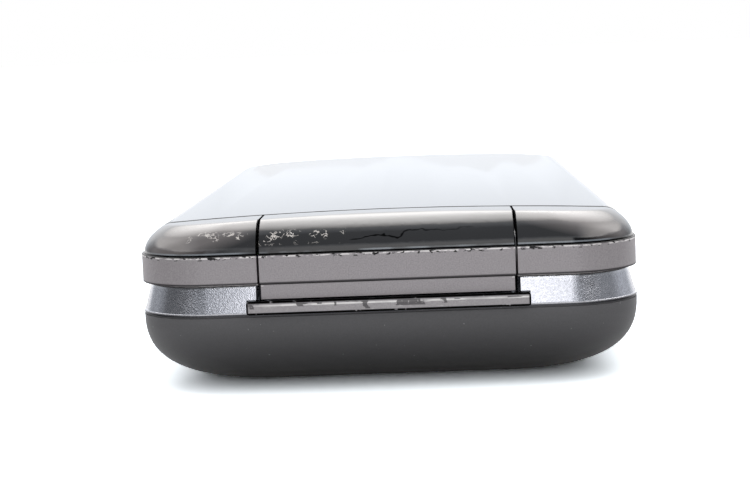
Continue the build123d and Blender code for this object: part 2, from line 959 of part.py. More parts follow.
# Base electronics
board_inset = 2.6
board_low_y = cavity_y + 0.3
dome_sheet_z = board_z + board_t
dome_sheet_t = 0.1
dome_low_y = board_low_y + 2
dome_high_y = far_y - 4.8
dome_side_room = 4.6
dome_half = half_w - dome_side_room
dome_r = 1.9
dome_h = 0.2
shield_wall = 0.25
shield_t = 1.9
shield_low_x = -bay_half
shield_high_x = bay_half / 2
shield_low_y = bay_high_y + bay_wall + 1.9
shield_high_y = screw_far_y - boss_r - 1.3
camera_half = 4.2
camera_step = 1.4
camera_dish = 0.8
speaker_dish = 0.6
lens_rim = 1.2
window_sink = 0.1
motor_r = 1.9
motor_len = 6.0
motor_shaft_r = 0.4
weight_gap = 0.4
weight_len = 2.4
motor_x = -10.0
motor_room = 13.7
motor_y = cavity_y + motor_room
mic_r = 1.9
mic_t = 1.4
connector_half = port_half - 0.3
connector_depth = 6.0
connector_low = port_low_z + 0.3
connector_wall = 0.4
connector_back = 1.0
connector_set = 0.2
antenna_t = 0.9
antenna_z = dome_sheet_z + dome_sheet_t
antenna_low_x = 3.6
antenna_high_x = screw_x - 3.1
antenna_low_y = far_y - 8.1
antenna_high_y = far_y - 4.9
antenna_slot = 0.8

with BuildPart() as main_board:
    add(
        slab(board_inset, board_z, dome_sheet_z)
        & block(-half_w, half_w, board_low_y, far_y, board_z, dome_sheet_z)
    )
    for site_x, site_y in screw_sites:
        add(
            post(site_x, site_y, board_z, dome_sheet_z, key_boss_r + key_gap),
            mode=Mode.SUBTRACT,
        )
save(main_board.part, "main_board")

with BuildPart() as dome_sheet:
    with BuildSketch(Plane.XY.offset(dome_sheet_z)):
        with Locations((0, (dome_low_y + dome_high_y) / 2)):
            Rectangle(2 * dome_half, dome_high_y - dome_low_y)
        with Locations(*screw_sites):
            Circle(key_boss_r + key_gap, mode=Mode.SUBTRACT)
    extrude(amount=dome_sheet_t)
    for key_name, key_x, key_y, key_width, key_height in oblong_keys:
        add(
            post(
                key_x, key_y, dome_sheet_z, dome_sheet_z + dome_sheet_t + dome_h,
                dome_r,
            )
        )
    add(post(0, nav_y, dome_sheet_z, dome_sheet_z + dome_sheet_t + dome_h, dome_r))
save(dome_sheet.part, "dome_sheet")

with BuildPart() as board_shield:
    add(
        block(
            shield_low_x, shield_high_x, shield_low_y, shield_high_y,
            board_z - shield_t, board_z,
        )
    )
    add(
        block(
            shield_low_x + shield_wall, shield_high_x - shield_wall,
            shield_low_y + shield_wall, shield_high_y - shield_wall,
            board_z - shield_t + shield_wall, board_z,
        ),
        mode=Mode.SUBTRACT,
    )
save(board_shield.part, "board_shield")

with BuildPart() as loudspeaker:
    add(post(speaker_x, speaker_y, floor_t, board_z, speaker_r))
    add(
        post(speaker_x, speaker_y, floor_t, floor_t + speaker_dish, speaker_r - lens_rim),
        mode=Mode.SUBTRACT,
    )
save(loudspeaker.part, "loudspeaker")

with BuildPart() as camera_module:
    add(
        block(
            camera_x - camera_half, camera_x + camera_half,
            camera_y - camera_half, camera_y + camera_half,
            floor_t + camera_step, board_z,
        )
    )
    add(post(camera_x, camera_y, floor_t, floor_t + camera_step, camera_r))
    add(
        post(camera_x, camera_y, floor_t, floor_t + camera_dish, camera_r - lens_rim),
        mode=Mode.SUBTRACT,
    )
save(camera_module.part, "camera_module")

with BuildPart() as camera_window:
    add(
        post(
            camera_x, camera_y, window_sink, floor_t, camera_window_r - face_gap
        )
    )
save(camera_window.part, "camera_window")

with BuildPart() as vibration_motor:
    with BuildSketch(Plane.XZ.offset(-motor_y - motor_len / 2)):
        with Locations((motor_x, board_z - motor_r)):
            Circle(motor_r)
    extrude(amount=motor_len)
    with BuildSketch(Plane.XZ.offset(-motor_y + motor_len / 2)):
        with Locations((motor_x, board_z - motor_r)):
            Circle(motor_shaft_r)
    extrude(amount=weight_gap + weight_len)
    with BuildSketch(Plane.XZ.offset(-motor_y + motor_len / 2 + weight_gap)):
        with Locations((motor_x, board_z - motor_r)):
            Circle(motor_r - loose_gap)
        with Locations((motor_x, board_z - motor_shaft_r)):
            Rectangle(2 * motor_r, 2 * motor_r, mode=Mode.SUBTRACT)
    extrude(amount=weight_len)
save(vibration_motor.part, "vibration_motor")

with BuildPart() as microphone:
    add(
        post(
            0, mic_y, dome_sheet_z + dome_sheet_t, dome_sheet_z + dome_sheet_t + mic_t,
            mic_r,
        )
    )
save(microphone.part, "microphone")

with BuildPart() as charge_connector:
    add(
        block(
            -connector_half, connector_half, far_y - port_cover_t - connector_depth,
            far_y - port_cover_t - connector_set, connector_low, board_z,
        )
    )
    add(
        block(
            -connector_half + connector_wall, connector_half - connector_wall,
            far_y - port_cover_t - connector_depth + connector_back,
            far_y - port_cover_t, connector_low + connector_wall,
            board_z - connector_wall,
        ),
        mode=Mode.SUBTRACT,
    )
save(charge_connector.part, "charge_connector")

with BuildPart() as antenna:
    add(
        block(
            antenna_low_x, antenna_high_x, antenna_low_y, antenna_high_y,
            antenna_z, antenna_z + antenna_t,
        )
    )
    with BuildSketch(Plane.XY.offset(antenna_z)):
        with Locations(((antenna_low_x + antenna_high_x) / 2, antenna_high_y)):
            with GridLocations(antenna_slot * 3, 0, 2, 1):
                Rectangle(antenna_slot, antenna_slot * 5)
    extrude(amount=antenna_t, mode=Mode.SUBTRACT)
save(antenna.part, "antenna")

with BuildPart() as case_screws:
    for site_x, site_y in screw_sites:
        add(post(site_x, site_y, screw_head_z, screw_head_z + screw_head_h, screw_head_r))
        add(post(site_x, site_y, screw_head_z, screw_tip_z, screw_r))
        add(
            block(
                site_x - cross_half, site_x + cross_half,
                site_y - cross_w, site_y + cross_w,
                screw_head_z, screw_head_z + cross_depth,
            ),
            mode=Mode.SUBTRACT,
        )
        add(
            block(
                site_x - cross_w, site_x + cross_w,
                site_y - cross_half, site_y + cross_half,
                screw_head_z, screw_head_z + cross_depth,
            ),
            mode=Mode.SUBTRACT,
        )
save(case_screws.part, "case_screws")

with BuildPart() as screw_plugs:
    for site_x, site_y in screw_sites:
        add(post(site_x, site_y, face_gap, plug_t, screw_head_r))
    add(belly(0, 0), mode=Mode.INTERSECT)
save(screw_plugs.part, "screw_plugs")

# Keys: a cap, a retaining flange under the deck and a stem over its dome


def key_body(x, y, key_width, key_height):
    """One push key, its retaining flange and its stem."""
    with BuildPart(mode=Mode.PRIVATE) as key:
        add(key_hole(x, y, key_width, key_height, 0, key_flange_z, key_top_z))
        chamfer(key.faces().sort_by(Axis.Z)[-1].edges(), length=key_bevel)
        add(
            key_hole(
                x, y, key_width, key_height, key_flange,
                key_flange_z, key_flange_z + key_flange_t,
            )
        )
        add(post(x, y, stem_z, key_flange_z, stem_r))
    return key.part


for key_name, key_x, key_y, key_width, key_height in oblong_keys:
    with BuildPart() as push_key:
        add(key_body(key_x, key_y, key_width, key_height))
    save(push_key.part, key_name)

with BuildPart() as ok_key:
    add(post(0, nav_y, key_flange_z, key_top_z, ok_r))
    chamfer(ok_key.faces().sort_by(Axis.Z)[-1].edges(), length=key_bevel)
    add(post(0, nav_y, stem_z, key_flange_z, stem_r))
save(ok_key.part, "ok_key")

with BuildPart() as nav_ring:
    add(post(0, nav_y, key_flange_z, key_top_z, nav_r))
    add(
        post(0, nav_y, key_flange_z, key_flange_z + key_flange_t, nav_r + key_flange)
    )
    chamfer(nav_ring.faces().sort_by(Axis.Z)[-1].edges(), length=nav_bevel)
    add(post(0, nav_y, key_flange_z, key_top_z, nav_hole_r), mode=Mode.SUBTRACT)
save(nav_ring.part, "nav_ring")

# Side rocker and connector cover
rocker_lip = 0.35
rocker_root = 0.6
rocker_round = 0.25
rocker_face = waist_inset / 2
tongue_w = 1.4
tongue_t = 0.15
with BuildPart() as volume_key:
    add(
        block(
            half_w - wall - waist_inset - rocker_root, half_w - rocker_face,
            volume_y - volume_len / 2, volume_y + volume_len / 2,
            side_key_low + key_gap, side_key_high - key_gap,
        )
    )
    fillet(volume_key.faces().sort_by(Axis.X)[-1].edges(), radius=rocker_round)
    add(
        block(
            half_w - wall - waist_inset - rocker_root, half_w - wall - waist_inset - key_gap,
            volume_y - volume_len / 2 - rocker_lip, volume_y + volume_len / 2 + rocker_lip,
            side_key_low + key_gap, side_key_high - key_gap,
        )
    )
save(volume_key.part, "volume_key")

with BuildPart() as connector_cover:
    add(
        belly(0, 0)
        & block(
            -port_cover_half, port_cover_half, far_y - port_cover_t + face_gap, far_y,
            port_cover_low, port_cover_high,
        )
    )
    inner_face = connector_cover.faces().filter_by(Axis.Y).sort_by(Axis.Y)[0]
    chamfer(inner_face.edges().filter_by(Axis.Z), length=cover_bevel)
    add(
        block(
            port_half - tongue_w, port_half - cover_gap,
            far_y - port_cover_t - tongue_t,
            far_y - port_cover_t + face_gap, port_low_z + cover_gap,
            port_high_z - cover_gap,
        )
    )
save(connector_cover.part, "connector_cover")
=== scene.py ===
import bpy
import bmesh
import json
from math import cos, pi, radians, sin
from mathutils import Matrix, Vector

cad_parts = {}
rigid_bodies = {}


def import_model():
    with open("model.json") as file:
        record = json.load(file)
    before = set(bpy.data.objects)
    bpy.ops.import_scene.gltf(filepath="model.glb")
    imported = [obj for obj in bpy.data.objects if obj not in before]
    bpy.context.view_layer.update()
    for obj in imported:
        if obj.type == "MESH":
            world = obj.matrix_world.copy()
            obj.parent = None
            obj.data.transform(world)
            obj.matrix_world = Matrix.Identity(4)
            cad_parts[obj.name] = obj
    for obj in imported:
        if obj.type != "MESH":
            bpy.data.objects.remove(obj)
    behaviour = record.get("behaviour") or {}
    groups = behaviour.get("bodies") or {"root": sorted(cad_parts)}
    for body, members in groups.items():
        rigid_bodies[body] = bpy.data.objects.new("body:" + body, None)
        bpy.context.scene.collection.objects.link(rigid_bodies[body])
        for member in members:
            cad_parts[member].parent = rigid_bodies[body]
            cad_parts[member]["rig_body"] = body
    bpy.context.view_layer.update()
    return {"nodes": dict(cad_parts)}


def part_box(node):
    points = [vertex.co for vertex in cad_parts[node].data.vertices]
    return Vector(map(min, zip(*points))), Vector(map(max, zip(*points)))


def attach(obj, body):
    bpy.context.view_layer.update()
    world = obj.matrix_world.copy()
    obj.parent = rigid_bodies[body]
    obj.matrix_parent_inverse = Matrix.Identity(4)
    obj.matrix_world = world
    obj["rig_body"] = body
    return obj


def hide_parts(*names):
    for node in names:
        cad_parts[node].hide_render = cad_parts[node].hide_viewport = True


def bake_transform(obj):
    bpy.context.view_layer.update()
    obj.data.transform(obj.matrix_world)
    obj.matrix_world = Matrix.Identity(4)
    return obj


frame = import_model()

# Studio: the phone lies closed on a flat sheet of white paper, in a white room
# with a softbox behind and above, a lit panel in front and a lamp at each side.
# Reflections see the panels and lamps, and the camera sees plain white.


def linear(code):
    """An sRGB hex colour as linear values with alpha."""
    parts = [int(code[i : i + 2], 16) / 255 for i in (1, 3, 5)]
    return [p / 12.92 if p < 0.04045 else ((p + 0.055) / 1.055) ** 2.4 for p in parts] + [1.0]


def add_node(tree, kind, settings=None, **links):
    """Adds one node: i0, i1 ... or a socket's name gets a value or a link."""
    made = tree.nodes.new(kind)
    for key, value in (settings or {}).items():
        setattr(made, key, value)
    for key, value in links.items():
        name = int(key[1:]) if key[0] == "i" and key[1:].isdigit() else key.replace("_", " ")
        if isinstance(value, bpy.types.NodeSocket):
            tree.links.new(value, made.inputs[name])
        else:
            made.inputs[name].default_value = value
    return made


def xyz(tree, place):
    """The x, y and z of a place or a direction."""
    return add_node(tree, "ShaderNodeSeparateXYZ", Vector=place).outputs


def span(tree, value, low, high, to_low=0.0, to_high=1.0):
    """A value carried from one range to another and held at its ends."""
    made = add_node(
        tree, "ShaderNodeMapRange", Value=value, From_Min=low, From_Max=high, To_Min=to_low, To_Max=to_high
    )
    return made.outputs[0]


def maths(tree, operation, first, second=0.5, third=0.5):
    """One step of arithmetic between values or sockets."""
    made = add_node(tree, "ShaderNodeMath", {"operation": operation}, i0=first, i1=second, i2=third)
    return made.outputs[0]


def times(tree, *masks):
    """Masks multiplied together."""
    whole = masks[0]
    for mask in masks[1:]:
        whole = maths(tree, "MULTIPLY", whole, mask)
    return whole


paper = bpy.data.materials.new("matt_white_paper")
paper.use_nodes = True
tree = paper.node_tree
tree.nodes.clear()
path = add_node(tree, "ShaderNodeLightPath")
spot = add_node(tree, "ShaderNodeTexCoord").outputs["Object"]
axes = xyz(tree, spot)
aside = span(tree, maths(tree, "ABSOLUTE", axes["X"]), 0.035, 0.075)
ahead = span(tree, axes["Y"], -0.04, 0.02, 1.0, 0.0)
sheet = linear("#d8dadc")
lit_far = span(tree, axes["Y"], 0.03, 0.15)
shaded_near = times(tree, aside, ahead)
for colour, mask in (((1.1, 1.11, 1.12, 1.0), lit_far), (linear("#6a6a6c"), shaded_near)):
    shown = times(tree, mask, path.outputs["Is Glossy Ray"])
    sheet = add_node(tree, "ShaderNodeMix", {"data_type": "RGBA"}, i0=shown, i6=sheet, i7=colour).outputs[2]
seen = path.outputs["Is Camera Ray"]
bright = (1.8, 1.92, 2.0, 1.0)
sheet = add_node(tree, "ShaderNodeMix", {"data_type": "RGBA"}, i0=seen, i6=sheet, i7=bright).outputs[2]
matte = add_node(tree, "ShaderNodeBsdfDiffuse", Color=sheet)
add_node(tree, "ShaderNodeOutputMaterial", Surface=matte.outputs[0])

reach = 4.0
table = bpy.data.meshes.new("white_paper")
corners = ((-reach, -reach, 0), (reach, -reach, 0), (reach, reach, 0), (-reach, reach, 0))
table.from_pydata(corners, [], [(0, 1, 2, 3)])
table.materials.append(paper)
floor = bpy.data.objects.new("white_paper", table)
bpy.context.scene.collection.objects.link(floor)

# Each level below is the room's brightness in one direction, in which y points
# from the hinge end to the far end and z points up.
world = bpy.data.worlds.new("soft_room")
bpy.context.scene.world = world
world.use_nodes = True
tree = world.node_tree
tree.nodes.clear()
path = add_node(tree, "ShaderNodeLightPath")
way = add_node(tree, "ShaderNodeTexCoord").outputs["Generated"]
ways = xyz(tree, way)
# The walls: one level behind, one before with the lit panel, and dimmer sides.
behind = span(tree, ways["Z"], 0.08, 0.3, 1.28, 1.9)
aside = maths(tree, "ABSOLUTE", ways["X"])
low = span(tree, ways["Z"], 0.4, 0.5, 1.0, 0.0)
before = span(tree, ways["Z"], 0.4, 0.6, 2.1, 0.8)
panel_centre = 0.045
from_panel = maths(tree, "ABSOLUTE", maths(tree, "SUBTRACT", ways["X"], panel_centre))
beyond_panel = times(tree, span(tree, from_panel, 0.12, 0.2, 0.0, 0.95), low)
before = times(tree, before, maths(tree, "SUBTRACT", 1.0, beyond_panel))
rear = span(tree, ways["Y"], -0.1, 0.3)
level = maths(tree, "MULTIPLY_ADD", maths(tree, "SUBTRACT", behind, before), rear, before)
dim_sides = times(tree, span(tree, aside, 0.5, 0.8, 0.0, 0.75), low)
level = times(tree, level, maths(tree, "SUBTRACT", 1.0, dim_sides))
right_glow = span(tree, ways["X"], 0.6, 0.85, 0.0, 0.28)
left_glow = span(tree, ways["X"], -0.85, -0.6, 0.1, 0.0)
level = maths(tree, "MULTIPLY_ADD", maths(tree, "ADD", right_glow, left_glow), low, level)

# The softbox and the two side lamps.
softbox_height, softbox_level = radians(48), 3.8
softbox_way = (0.0, cos(softbox_height), sin(softbox_height))
facing = add_node(tree, "ShaderNodeVectorMath", {"operation": "DOT_PRODUCT"}, i0=way, i1=softbox_way)
softbox = span(tree, facing.outputs["Value"], 0.865, 0.975)
level = maths(tree, "MULTIPLY_ADD", softbox, softbox_level, level)
beside = times(tree, span(tree, ways["Y"], 0.3, 0.75, 1.0, 0.1), span(tree, ways["Z"], 0.38, 0.5))
beside = times(tree, beside, span(tree, aside, 0.81, 0.86, 1.0, 0.1))
left_lamp = times(tree, span(tree, ways["X"], -0.6, -0.3, 1.6, 0.0), beside)
right_lamp = times(tree, span(tree, ways["X"], 0.3, 0.6, 0.0, 2.6), beside)
level = maths(tree, "ADD", level, maths(tree, "ADD", left_lamp, right_lamp))

# Only reflections see all this. What is dimmer is also a little cooler.
mirrored = path.outputs["Is Glossy Ray"]
level = add_node(tree, "ShaderNodeMix", {"data_type": "FLOAT"}, i0=mirrored, i2=1.0, i3=level)
cool = times(tree, span(tree, level.outputs[0], 1.2, 2.5, 1.0, 0.0), mirrored)
warm, cold = (1.02, 1.0, 0.99, 1.0), (0.95, 0.99, 1.05, 1.0)
tint = add_node(tree, "ShaderNodeMix", {"data_type": "RGBA"}, i0=cool, i6=warm, i7=cold)
room = add_node(tree, "ShaderNodeBackground", Color=tint.outputs[2], Strength=level.outputs[0])
white = add_node(tree, "ShaderNodeBackground", Color=linear("#ffffff"), Strength=1.0)
seen = path.outputs["Is Camera Ray"]
pick = add_node(tree, "ShaderNodeMixShader", Fac=seen, i1=room.outputs[0], i2=white.outputs[0])
add_node(tree, "ShaderNodeOutputWorld", Surface=pick.outputs[0])

# Three area lamps light the paint without showing in it.
for lamp_name, stand, size, power in (
    ("overhead_soft_lamp", (0.0, 0.1, 0.9), 1.4, 3.0),
    ("left_fill_lamp", (-0.75, -0.45, 0.4), 0.6, 0.5),
    ("right_fill_lamp", (0.75, -0.45, 0.4), 0.6, 0.5),
):
    lamp = bpy.data.lights.new(lamp_name, "AREA")
    lamp.energy = power
    lamp.size = size
    holder = bpy.data.objects.new(lamp_name, lamp)
    aim = (-Vector(stand)).to_track_quat("-Z", "Y").to_matrix().to_4x4()
    holder.matrix_world = Matrix.Translation(stand) @ aim
    holder.visible_glossy = False
    bpy.context.scene.collection.objects.link(holder)

# The camera looks at the hinge end from a little above and to the right.
camera_data = bpy.data.cameras.new("hinge_end_view")
camera_data.sensor_width = 36.0
camera_data.lens = 86.45
camera = bpy.data.objects.new("hinge_end_view", camera_data)
eye = Vector((0.004128, -0.225267, 0.034013))
look = Vector((-0.00109, -0.0537, 0.013934)) - eye
roll = radians(-2.283)
turn = look.to_track_quat("-Z", "Y").to_matrix().to_4x4() @ Matrix.Rotation(roll, 4, "Z")
camera.matrix_world = Matrix.Translation(eye) @ turn
bpy.context.scene.collection.objects.link(camera)
bpy.context.scene.camera = camera
bpy.context.scene.view_settings.view_transform = "Standard"

# Rear case and battery cover: moulded ABS shells under a charcoal soft-touch
# paint, matt to the touch, with a fine grain, pale specks and hairs, and painted
# shade that darkens it towards the bottom.


def new_finish(name):
    """A new material, its empty tree and its object coordinates."""
    made = bpy.data.materials.new(name)
    made.use_nodes = True
    made.node_tree.nodes.clear()
    place = add_node(made.node_tree, "ShaderNodeTexCoord").outputs["Object"]
    return made, made.node_tree, place


def noise(tree, place, size_mm, detail=2.0, distortion=0.0):
    """Noise whose lumps measure about size_mm."""
    made = add_node(
        tree, "ShaderNodeTexNoise", Vector=place, Scale=1000 / size_mm, Detail=detail, Distortion=distortion
    )
    return made.outputs["Fac"]


def streaks(tree, place, sizes_mm, detail=1.0):
    """Noise drawn out to different sizes along x, y and z."""
    drawn = add_node(tree, "ShaderNodeMapping", Vector=place, Scale=[1000 / size for size in sizes_mm])
    made = add_node(tree, "ShaderNodeTexNoise", Vector=drawn.outputs[0], Scale=1.0, Detail=detail)
    return made.outputs["Fac"]


def over(tree, mask, under_colour, top_colour):
    """Lays one colour over another where the mask is 1."""
    mix = add_node(tree, "ShaderNodeMix", {"data_type": "RGBA"}, i0=mask, i6=under_colour, i7=top_colour)
    return mix.outputs[2]


def between(tree, value, low, high, soft):
    """1 between two places, fading out over a soft width beyond each."""
    rise = span(tree, value, low - soft, low)
    return maths(tree, "MULTIPLY", rise, span(tree, value, high, high + soft, 1.0, 0.0))


def close_finish(tree, colour, height, height_mm, **settings):
    """Ends a finish with one bump, one principled shader and the output."""
    bump = add_node(tree, "ShaderNodeBump", Strength=0.5, Distance=height_mm / 1000, Height=height)
    skin = add_node(tree, "ShaderNodeBsdfPrincipled", Base_Color=colour, Normal=bump.outputs[0], **settings)
    add_node(tree, "ShaderNodeOutputMaterial", Surface=skin.outputs[0])


def dress(name, finish, ease_mm=0.0, twist=None):
    """Stands a merged, smooth-shaded and eased copy in a CAD node's place.

    A piece with twist turns from the base to the lid between those two x."""
    weld, facet_angle, crease, twist_steps = 2e-6, radians(0.2), radians(28), 16
    source = frame["nodes"][name]
    mesh = source.data.copy()
    mesh.name = name + "_skin"
    shape = bmesh.new()
    shape.from_mesh(mesh)
    bmesh.ops.remove_doubles(shape, verts=shape.verts, dist=weld)
    bmesh.ops.dissolve_limit(shape, angle_limit=facet_angle, verts=shape.verts, edges=shape.edges)
    for step in range(twist_steps + 1 if twist else 0):
        cut = (twist[0] + (twist[1] - twist[0]) * step / twist_steps, 0, 0)
        bmesh.ops.bisect_plane(
            shape, geom=shape.verts[:] + shape.edges[:] + shape.faces[:], plane_co=cut, plane_no=(1, 0, 0)
        )
    for face in shape.faces:
        face.smooth = True
    for edge in shape.edges:
        edge.smooth = not (edge.is_manifold and edge.calc_face_angle(0) > crease)
    shape.to_mesh(mesh)
    shape.free()
    mesh.materials.clear()
    mesh.materials.append(finish)
    piece = bpy.data.objects.new(name + "_skin", mesh)
    bpy.context.scene.collection.objects.link(piece)
    if ease_mm:
        ease = piece.modifiers.new("eased_edges", "BEVEL")
        ease.width = ease_mm / 1000
        ease.segments = 2
        ease.limit_method = "ANGLE"
        ease.angle_limit = radians(35)
        ease.harden_normals = True
    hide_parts(name)
    if twist:
        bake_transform(piece)
    else:
        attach(piece, source["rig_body"])


# The grain is drawn at 0.16 mm, the smallest that shows. Painted shade makes the
# paint darker towards the bottom, a painted reflection of the floor pales it just
# above the foot, and a painted contact shadow runs round the foot.
soft_touch, tree, spot = new_finish("soft_touch_paint_on_moulded_abs")
axes = xyz(tree, spot)
grain = noise(tree, spot, 0.16)
case_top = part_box("rear_case")[1].z
tone = over(tree, grain, linear("#232324"), linear("#2c2c2e"))
# Painted shade: darker towards the bottom, paler higher up the sides.
painted_shade_ramp = span(tree, axes["Z"], 0.002, case_top)
tone = over(tree, painted_shade_ramp, tone, over(tree, grain, linear("#4a4a4c"), linear("#57575a")))
tone = over(tree, times(tree, noise(tree, spot, 9.0, 3.0), 0.25), tone, linear("#48484a"))
specks = span(tree, noise(tree, spot, 0.3, 0.0), 0.85, 0.87)
hairs = span(tree, streaks(tree, spot, (0.25, 1.2, 2.2)), 0.83, 0.86)
marks = times(tree, maths(tree, "MAXIMUM", specks, hairs), 0.5)
tone = over(tree, marks, tone, linear("#8d8d90"))
# Painted reflection of the floor: a faint pale line just above the foot.
painted_foot_reflection = between(tree, axes["Z"], 0.00055, 0.0007, 0.00012)
tone = over(tree, times(tree, painted_foot_reflection, 0.3), tone, linear("#54565a"))
# Painted contact shadow: near black round the lowest edge of the foot, but not on the flat underside.
painted_contact_shadow = span(tree, axes["Z"], 0.0003, 0.00048, 1.0, 0.0)
painted_contact_shadow = times(tree, painted_contact_shadow, span(tree, axes["Z"], 0.00001, 0.00003))
tone = over(tree, painted_contact_shadow, tone, linear("#050506"))
close_finish(tree, tone, grain, 0.02, Roughness=0.42, Sheen_Weight=0.08, Sheen_Roughness=0.3)
dress("rear_case", soft_touch, 0.08)
dress("battery_cover", soft_touch, 0.08)

# Keypad case: the waist, moulded ABS in a silver-blue metallic paint. Its
# flakes sparkle, and painted highlights run pale along its two outer lips.
silver_blue, tree, spot = new_finish("silver_blue_metallic_paint")
axes = xyz(tree, spot)
seam_z, rim_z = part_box("rear_case")[1].z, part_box("key_case")[1].z
flake = add_node(tree, "ShaderNodeTexVoronoi", Vector=spot, Scale=9500.0)
spark = add_node(tree, "ShaderNodeSeparateColor", Color=flake.outputs["Color"]).outputs[0]
tone = over(tree, spark, linear("#b0b1b7"), linear("#cdced4"))
seam_shade = span(tree, axes["Z"], seam_z + 0.00016, seam_z + 0.0002, 1.0, 0.0)
tone = over(tree, times(tree, seam_shade, 0.9), tone, linear("#2c2b2e"))
# Painted highlights: pale lines along the waist's lower lip and its upper brow.
painted_lip_highlight = between(tree, axes["Z"], seam_z + 0.00024, seam_z + 0.00028, 0.00004)
painted_brow_highlight = between(tree, axes["Z"], rim_z - 0.00018, rim_z, 0.0001)
tone = over(tree, times(tree, maths(tree, "MAXIMUM", painted_lip_highlight, painted_brow_highlight), 0.45), tone, linear("#dcdde0"))
close_finish(tree, tone, flake.outputs["Distance"], 0.01, Metallic=0.95, Roughness=0.16)
dress("key_case", silver_blue, 0.06)

# Side knuckles, lid frame and bezel: one grey metallic paint on moulded ABS.
# Its upper outer edge is worn to pale metal, with black chips between.
grey_paint, tree, spot = new_finish("grey_metallic_paint_worn_on_its_edge")
axes = xyz(tree, spot)
band_low, band_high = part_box("lid_frame")
flake = noise(tree, spot, 0.13, 1.0)
tone = over(tree, flake, linear("#817d80"), linear("#a8a4a7"))

# The worn edge, a painted shadow for the dark gap over it, and its chips.
edge_zone = between(tree, axes["Z"], band_high.z - 0.0002, band_high.z - 0.0001, 0.00005)
worn = span(tree, streaks(tree, spot, (0.8, 0.8, 0.3), 3.0), 0.45, 0.53)
tone = over(tree, times(tree, edge_zone, worn, 0.85), tone, linear("#e9e7e6"))
# Painted shadow: the band's top edge darkened where the cap overhangs it.
painted_gap_shadow = span(tree, axes["Z"], band_high.z - 0.00012, band_high.z - 0.00004)
tone = over(tree, painted_gap_shadow, tone, linear("#1a191a"))
chipped = span(tree, streaks(tree, spot, (0.5, 0.5, 0.25), 3.0), 0.58, 0.6)
chip_zone = between(tree, axes["Z"], band_high.z - 0.00032, band_high.z, 0.0001)
tone = over(tree, times(tree, chip_zone, chipped), tone, linear("#141314"))

# Painted shade along the band's foot, and a painted reflection of the floor on
# the side knuckles' pale lower edge.
# Painted shade: a dark line along the band's foot.
painted_foot_shade = between(tree, axes["Z"], band_low.z, band_low.z + 0.00012, 0.00012)
tone = over(tree, times(tree, painted_foot_shade, 0.9), tone, linear("#1c1a1c"))
knuckle_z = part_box("left_knuckle")[0].z
# Painted reflection: a pale line along the side knuckles' lower edge, facing out.
painted_skirt_reflection = between(tree, axes["Z"], knuckle_z + 0.00006, knuckle_z + 0.00014, 0.00004)
outward = maths(tree, "ABSOLUTE", axes["X"])
painted_skirt_reflection = times(tree, painted_skirt_reflection, span(tree, outward, 0.0119, 0.012), 0.55)
tone = over(tree, painted_skirt_reflection, tone, linear("#d6d4d3"))
close_finish(tree, tone, flake, 0.02, Metallic=0.35, Roughness=0.42)
for name in ("left_knuckle", "right_knuckle", "lid_frame"):
    dress(name, grey_paint, 0.06)
dress("lid_bezel", grey_paint, 0.05)
dress("volume_key", grey_paint, 0.05)

# Hinge bar: a pressed trim strip in the same grey, its rim darkened by painted
# shade, a painted highlight along its face, and its face chipped and scratched.
# The painted shade is set as black metal, to lose its gloss.
bar_paint, tree, spot = new_finish("worn_grey_paint_on_pressed_bar")
axes = xyz(tree, spot)
bar_low, bar_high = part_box("hinge_bar")
flake = noise(tree, spot, 0.13, 1.0)
tone = over(tree, flake, linear("#868386"), linear("#a6a3a5"))
# Painted highlight: a pale ridge line across the bar's upper part, its strength varied by noise.
painted_ridge_highlight = between(tree, axes["Z"], bar_high.z - 0.00048, bar_high.z - 0.00038, 0.00006)
ridge_highlight_strength = span(tree, noise(tree, spot, 2.0, 2.0), 0.35, 0.6, 0.25, 0.85)
tone = over(tree, times(tree, painted_ridge_highlight, ridge_highlight_strength), tone, linear("#e6e5e4"))
scratch = span(tree, streaks(tree, spot, (1.6, 1.0, 0.08), 2.0), 0.7, 0.74)
tone = over(tree, times(tree, scratch, 0.7), tone, linear("#e8e8e8"))

# Painted shade round the rim, standing in for the dark gap about the bar, broken at its inner side.
rim_top = span(tree, axes["Z"], bar_high.z - 0.00028, bar_high.z - 0.00018)
rim_foot = span(tree, axes["Z"], bar_low.z + 0.00018, bar_low.z + 0.00026, 1.0, 0.0)
outward = maths(tree, "ABSOLUTE", axes["X"])
rim_end = span(tree, outward, bar_high.x - 0.00024, bar_high.x - 0.00014)
rim = maths(tree, "MAXIMUM", maths(tree, "MAXIMUM", rim_top, rim_foot), rim_end)
ragged = span(tree, noise(tree, spot, 0.7, 3.0), 0.25, 0.36)
painted_rim_shade = times(tree, rim, ragged)
tone = over(tree, painted_rim_shade, tone, linear("#050505"))
metal = maths(tree, "MULTIPLY_ADD", painted_rim_shade, 0.7, 0.3)

# Chips hang from the rim: their middle, half width and drop are in millimetres.
ragged_x = maths(tree, "MULTIPLY_ADD", noise(tree, spot, 0.6, 3.0), 0.0014, axes["X"])
chip_top = bar_high.z - 0.0003
bare = 0.0
for chip_mm, half_mm, drop_mm in (
    (-12.6, 0.3, 0.4), (-7.7, 0.35, 0.25), (-5.8, 0.2, 0.1), (-4.4, 0.15, 0.3),
    (-1.4, 0.35, 0.7), (2.7, 1.3, 0.5), (6.0, 0.2, 0.4),
):
    wide = between(tree, ragged_x, (chip_mm - half_mm) / 1000, (chip_mm + half_mm) / 1000, 0.00006)
    tall = between(tree, axes["Z"], chip_top - drop_mm / 1000, chip_top, 0.00008)
    bare = maths(tree, "MAXIMUM", maths(tree, "MULTIPLY", wide, tall), bare)
dashes = between(tree, axes["Z"], chip_top - 0.0001, chip_top, 0.00005)
dashes = times(tree, dashes, span(tree, streaks(tree, spot, (1.3, 1.3, 0.3), 3.0), 0.54, 0.57))
chipped = times(tree, bare, span(tree, noise(tree, spot, 0.3, 2.0), 0.3, 0.4))
chipped = maths(tree, "MAXIMUM", chipped, dashes)
